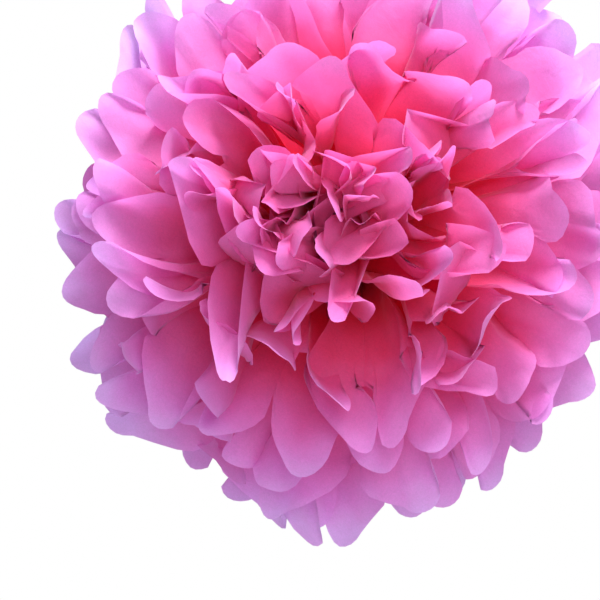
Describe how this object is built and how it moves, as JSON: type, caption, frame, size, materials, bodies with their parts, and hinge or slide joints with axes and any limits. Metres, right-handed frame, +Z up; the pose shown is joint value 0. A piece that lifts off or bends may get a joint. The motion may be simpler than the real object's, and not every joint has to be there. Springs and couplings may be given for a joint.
{
  "type": "tissue paper pom pom",
  "caption": "Pink tissue paper ball of pleated, rounded petals, gathered at its middle by a wire with an eye for hanging.",
  "frame": {"origin": "middle of the wire tie, which is the middle of the ball", "axes": "+Z up through the hanging eye, -Y and +Y out through the two poles where the innermost petals close up, +X along the pleats before they were opened"},
  "size_m": [0.3365, 0.3418, 0.3291],
  "materials": {
    "tissue_paper": "thin translucent tissue, soft matte",
    "tie_wire": "bare florist's wire"
  },
  "bodies": {
    "root": {"tissue_sheet_01": "tissue_paper", "tissue_sheet_02": "tissue_paper", "tissue_sheet_03": "tissue_paper", "tissue_sheet_04": "tissue_paper", "tissue_sheet_05": "tissue_paper", "tissue_sheet_06": "tissue_paper", "tissue_sheet_07": "tissue_paper", "tissue_sheet_08": "tissue_paper", "tissue_sheet_09": "tissue_paper", "tissue_sheet_10": "tissue_paper", "tissue_sheet_11": "tissue_paper", "tissue_sheet_12": "tissue_paper", "wire_tie": "tie_wire"}
  },
  "joints": []
}
